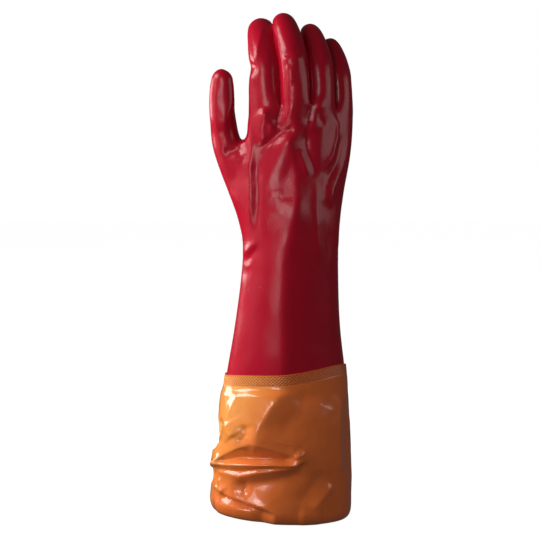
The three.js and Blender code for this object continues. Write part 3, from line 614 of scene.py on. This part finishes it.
def makeBand():
    across = band["dents"] * band["perDent"]
    down = band["rows"] * band["perRow"]
    turn = np.linspace(0, 360, across + 1)
    u = np.arange(across + 1) / band["perDent"]
    mean, swing = band["dentShadeAmount"]
    # painted shade: the dents are darkest at the turn facing the lit front left
    dentShadeStrength = mean + swing * np.cos(np.radians(turn - band["dentShadeTurn"]))
    grid, dentShade = [], []
    for j in range(down + 1):
        z = bandTop(turn) - band["height"] * j / down
        v = j / (2 * band["perRow"])
        # lattice lines run where either diagonal is a whole number
        first = np.abs((u + v + 0.5) % 1 - 0.5) * 2
        second = np.abs((u - v + 0.5) % 1 - 0.5) * 2
        edge = 1.0 if 0 < j < down else 0.0
        dent = np.minimum(first, second) * edge
        dentShade.append(ramp(dent, *band["dentShadeEdge"]) * dentShadeStrength)
        sides = gauntletSides(z)
        grow = band["gap"] + band["wall"] + roofRise(sides, turn, z) - band["depth"] * dent
        grid.append(roundPoint(sides, turn, z, grow))
    piece = meshFromGrid("weld_band_film", np.array(grid), [False] * len(grid), np.array(dentShade))
    giveWall(piece, band["skin"])
    smoothBelow(piece, band["smoothBelow"])
    return piece


# Materials

class Wire:
    def __init__(self, book, socket):
        self.book, self.socket = book, socket

    def join(self, operation, other, swap=False):
        values = (other, self) if swap else (self, other)
        return self.book.add("ShaderNodeMath", {"operation": operation}, values)

    def __add__(self, other):
        return self.join("ADD", other)

    def __radd__(self, other):
        return self.join("ADD", other, True)

    def __sub__(self, other):
        return self.join("SUBTRACT", other)

    def __rsub__(self, other):
        return self.join("SUBTRACT", other, True)

    def __mul__(self, other):
        return self.join("MULTIPLY", other)

    def __rmul__(self, other):
        return self.join("MULTIPLY", other, True)


class Finish:
    def __init__(self, owner):
        # owner is a material or the world
        owner.use_nodes = True
        self.owner, self.tree = owner, owner.node_tree
        self.tree.nodes.clear()

    def fill(self, socket, value):
        if isinstance(value, Wire):
            self.tree.links.new(value.socket, socket)
        else:
            socket.default_value = value

    def add(self, kind, settings=None, values=(), named=None, out=0):
        node = self.tree.nodes.new(kind)
        for key, value in (settings or {}).items():
            setattr(node, key, value)
        for key, value in list(enumerate(values)) + list((named or {}).items()):
            self.fill(node.inputs[key], value)
        return Wire(self, node.outputs[out]) if len(node.outputs) else None

    def noise(self, place, scale, detail):
        return self.add("ShaderNodeTexNoise", named={"Vector": place, "Scale": scale, "Detail": detail})

    def blend(self, factor, low, high):
        mixed = self.add("ShaderNodeMix", {"data_type": "RGBA"}, named={"Factor": factor}, out=2)
        for key, value in ((6, low), (7, high)):
            self.fill(mixed.socket.node.inputs[key], value if isinstance(value, Wire) else (*value, 1))
        return mixed

    def bump(self, height, strength, depth):
        return self.add("ShaderNodeBump", named={"Strength": strength, "Distance": depth, "Height": height})

    def finish(self, **sockets):
        named = {name.replace("_", " "): value for name, value in sockets.items()}
        surface = self.add("ShaderNodeBsdfPrincipled", named=named)
        self.add("ShaderNodeOutputMaterial", named={"Surface": surface})
        return self.owner


coating = {
    "deep": (0.41, 0.0015, 0.016), "bright": (0.51, 0.004, 0.026),
    "rough": 0.16, "smudged": 0.16, "peel": 0.25, "peelDepth": 0.0004,
    "clouds": (14.0, 3.0), "smudges": (60.0, 4.0), "pores": (420.0, 2.0),  # scale and detail of each noise
}


def makeCoating():
    red = Finish(bpy.data.materials.new("red_coating"))
    place = red.add("ShaderNodeTexCoord", out=3)  # Object coordinates, in metres
    colour = red.blend(red.noise(place, *coating["clouds"]), coating["deep"], coating["bright"])
    rough = coating["rough"] + coating["smudged"] * red.noise(place, *coating["smudges"])
    peel = red.bump(red.noise(place, *coating["pores"]), coating["peel"], coating["peelDepth"])
    return red.finish(Base_Color=colour, Roughness=rough, Normal=peel, IOR=1.5)


film = {
    "orange": (0.88, 0.195, 0.036), "yellowCloudsAndPaintedLight": (0.95, 0.35, 0.065), "dentShade": (0.30, 0.035, 0.008),
    # how far the colour goes from orange to the lighter yellow: painted light, yellower and lighter to the
    # lit top left and more orange to the shaded lower right, with the clouds as the film's own uneven tone;
    # more for each metre up and for the clouds, less for each metre to the right, and less in all
    "up": 13.2, "cloudy": 0.4, "right": 22.0, "less": 1.69,
    "rough": 0.16, "smudged": 0.14, "ripple": 0.2, "rippleDepth": 0.0006,
    "coat": 1.0, "coatRough": 0.06,
    "clouds": (18.0, 3.0), "smudges": (70.0, 4.0), "ripples": (160.0, 3.0),  # scale and detail of each noise
}


def makeFilm():
    amber = Finish(bpy.data.materials.new("amber_film"))
    place = amber.add("ShaderNodeTexCoord", out=3)  # Object coordinates, in metres
    across = amber.add("ShaderNodeSeparateXYZ", values=(place,), out=0)
    height = amber.add("ShaderNodeSeparateXYZ", values=(place,), out=2)
    # painted light: yellower and lighter towards the lit top left, more orange towards the shaded lower
    # right; the clouds are the film's own uneven tone
    yellowCloudsAndPaintedLight = film["up"] * height - film["right"] * across
    yellowCloudsAndPaintedLight = yellowCloudsAndPaintedLight + film["cloudy"] * amber.noise(place, *film["clouds"]) - film["less"]
    colour = amber.blend(yellowCloudsAndPaintedLight, film["orange"], film["yellowCloudsAndPaintedLight"])
    # painted shade in the weld band's dents
    dentShadeAmount = amber.add("ShaderNodeAttribute", {"attribute_name": "dentShadeAmount"}, out=2)
    colour = amber.blend(dentShadeAmount, colour, film["dentShade"])
    rough = film["rough"] + film["smudged"] * amber.noise(place, *film["smudges"])
    ripple = amber.bump(amber.noise(place, *film["ripples"]), film["ripple"], film["rippleDepth"])
    return amber.finish(Base_Color=colour, Roughness=rough, Normal=ripple, IOR=1.5,
                        Coat_Weight=film["coat"], Coat_Roughness=film["coatRough"])


# Pieces

gloveSkin = makeGlove()
print("glove made", len(gloveSkin.data.polygons))
sleeveFilm = makeSleeve()
print("sleeve made", len(sleeveFilm.data.polygons))
weldBand = makeBand()
print("weld band made", len(weldBand.data.polygons))

redCoating = makeCoating()
amberFilm = makeFilm()
for piece, node, finish, slotName in [
    (gloveSkin, "coated_glove", redCoating, "coating"),
    (sleeveFilm, "sleeve", amberFilm, "film"),
    (weldBand, "weld_band", amberFilm, "film"),
]:
    piece.data.materials.clear()
    piece.data.materials.append(finish)
    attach(piece, "root")
    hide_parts(node)


# Studio: camera, floor, world and lights

studio = {
    "lookAt": (0, 0, 237), "distance": 1700, "up": 8,  # the camera, in millimetres and degrees
    "lens": 119.3, "sensor": 36, "shift": (-11 / 540, 3 / 540),
    "lightsAt": 0.26,  # height that the lights face, in metres
    "floorSize": 4.0, "floorAt": (0, 0.6, -0.001), "floorGrey": 0.16, "floorGlow": 0.98,
    "dark": (0.06, 0.055, 0.055),  # what the glove sees where there is no light
}


def makeCamera():
    up = math.radians(studio["up"])
    aim = Vector(studio["lookAt"]) * mm
    back = Vector((0, -math.cos(up), math.sin(up)))
    bpy.ops.object.camera_add(location=aim + back * studio["distance"] * mm)
    camera = bpy.context.active_object
    camera.rotation_mode = "QUATERNION"
    camera.rotation_quaternion = (-back).to_track_quat("-Z", "Y")
    camera.data.lens = studio["lens"]
    camera.data.sensor_width = studio["sensor"]
    camera.data.shift_x, camera.data.shift_y = studio["shift"]
    bpy.context.scene.camera = camera


lights = [  # name, degrees left of the camera, rise, metres away, width, height, radiance, in gloss, colour
    ("wash", 78, 8, 0.9, 0.7, 0.6, 4.9, False, (1.0, 0.97, 0.95)),
    ("key", 80, 36, 1.1, 0.7, 0.40, 6.5, True, (1.0, 0.96, 0.95)),
    ("edge", 110, 9.5, 1.1, 0.44, 0.46, 6.5, True, (1.0, 0.96, 0.95)),
    ("strip", 20, 17, 1.3, 0.28, 0.46, 4.4, True, (1.0, 0.95, 0.95)),
    ("veil", 32, 2, 1.3, 0.6, 1.0, 0.14, True, (1.0, 0.93, 0.93)),
    ("low", 30, -2, 0.62, 0.18, 0.12, 2.6, True, (1.0, 0.93, 0.93)),
    ("dim", -68, 15, 1.3, 0.9, 0.58, 1.2, True, (1.0, 0.92, 0.90)),
]


def makeLight(name, left, rise, distance, wide, tall, radiance, inGloss, colour):
    turn, up = math.radians(left), math.radians(rise)
    aim = Vector((0, 0, studio["lightsAt"]))
    away = Vector((-math.sin(turn) * math.cos(up), -math.cos(turn) * math.cos(up), math.sin(up)))
    bpy.ops.object.light_add(type="AREA", location=aim + away * distance)
    lamp = bpy.context.active_object
    lamp.name = name + "_light"
    lamp.data.shape = "RECTANGLE"
    lamp.data.size, lamp.data.size_y = wide, tall
    lamp.data.energy = radiance * math.pi * wide * tall
    lamp.data.color = colour
    lamp.visible_glossy = inGloss
    lamp.visible_camera = False
    lamp.rotation_mode = "QUATERNION"
    lamp.rotation_quaternion = (-away).to_track_quat("-Z", "Y")


def makeFloor():
    bpy.ops.mesh.primitive_plane_add(size=studio["floorSize"], location=studio["floorAt"])
    floor = bpy.context.active_object
    floor.name = "floor"
    pale = Finish(bpy.data.materials.new("pale_floor"))
    grey = studio["floorGrey"]
    floor.data.materials.append(pale.finish(
        Base_Color=(grey, grey, grey, 1), Roughness=1.0, Specular_IOR_Level=0.0,
        Emission_Color=(1, 1, 1, 1), Emission_Strength=studio["floorGlow"]))
    floor.visible_glossy = floor.visible_diffuse = False  # the white floor doesn't light the glove


def makeBackdrop():
    # white to the camera and dark to the glove
    sky = Finish(bpy.data.worlds.new("studio"))
    seen = sky.add("ShaderNodeLightPath")
    dark = sky.add("ShaderNodeBackground", named={"Color": (*studio["dark"], 1)})
    white = sky.add("ShaderNodeBackground", named={"Color": (1, 1, 1, 1)})
    both = sky.add("ShaderNodeMixShader", values=(seen, dark, white))
    sky.add("ShaderNodeOutputWorld", named={"Surface": both})
    bpy.context.scene.world = sky.owner


makeCamera()
for light in lights:
    makeLight(*light)
makeFloor()
makeBackdrop()
bpy.context.scene.view_settings.view_transform = "Standard"
print("studio made")
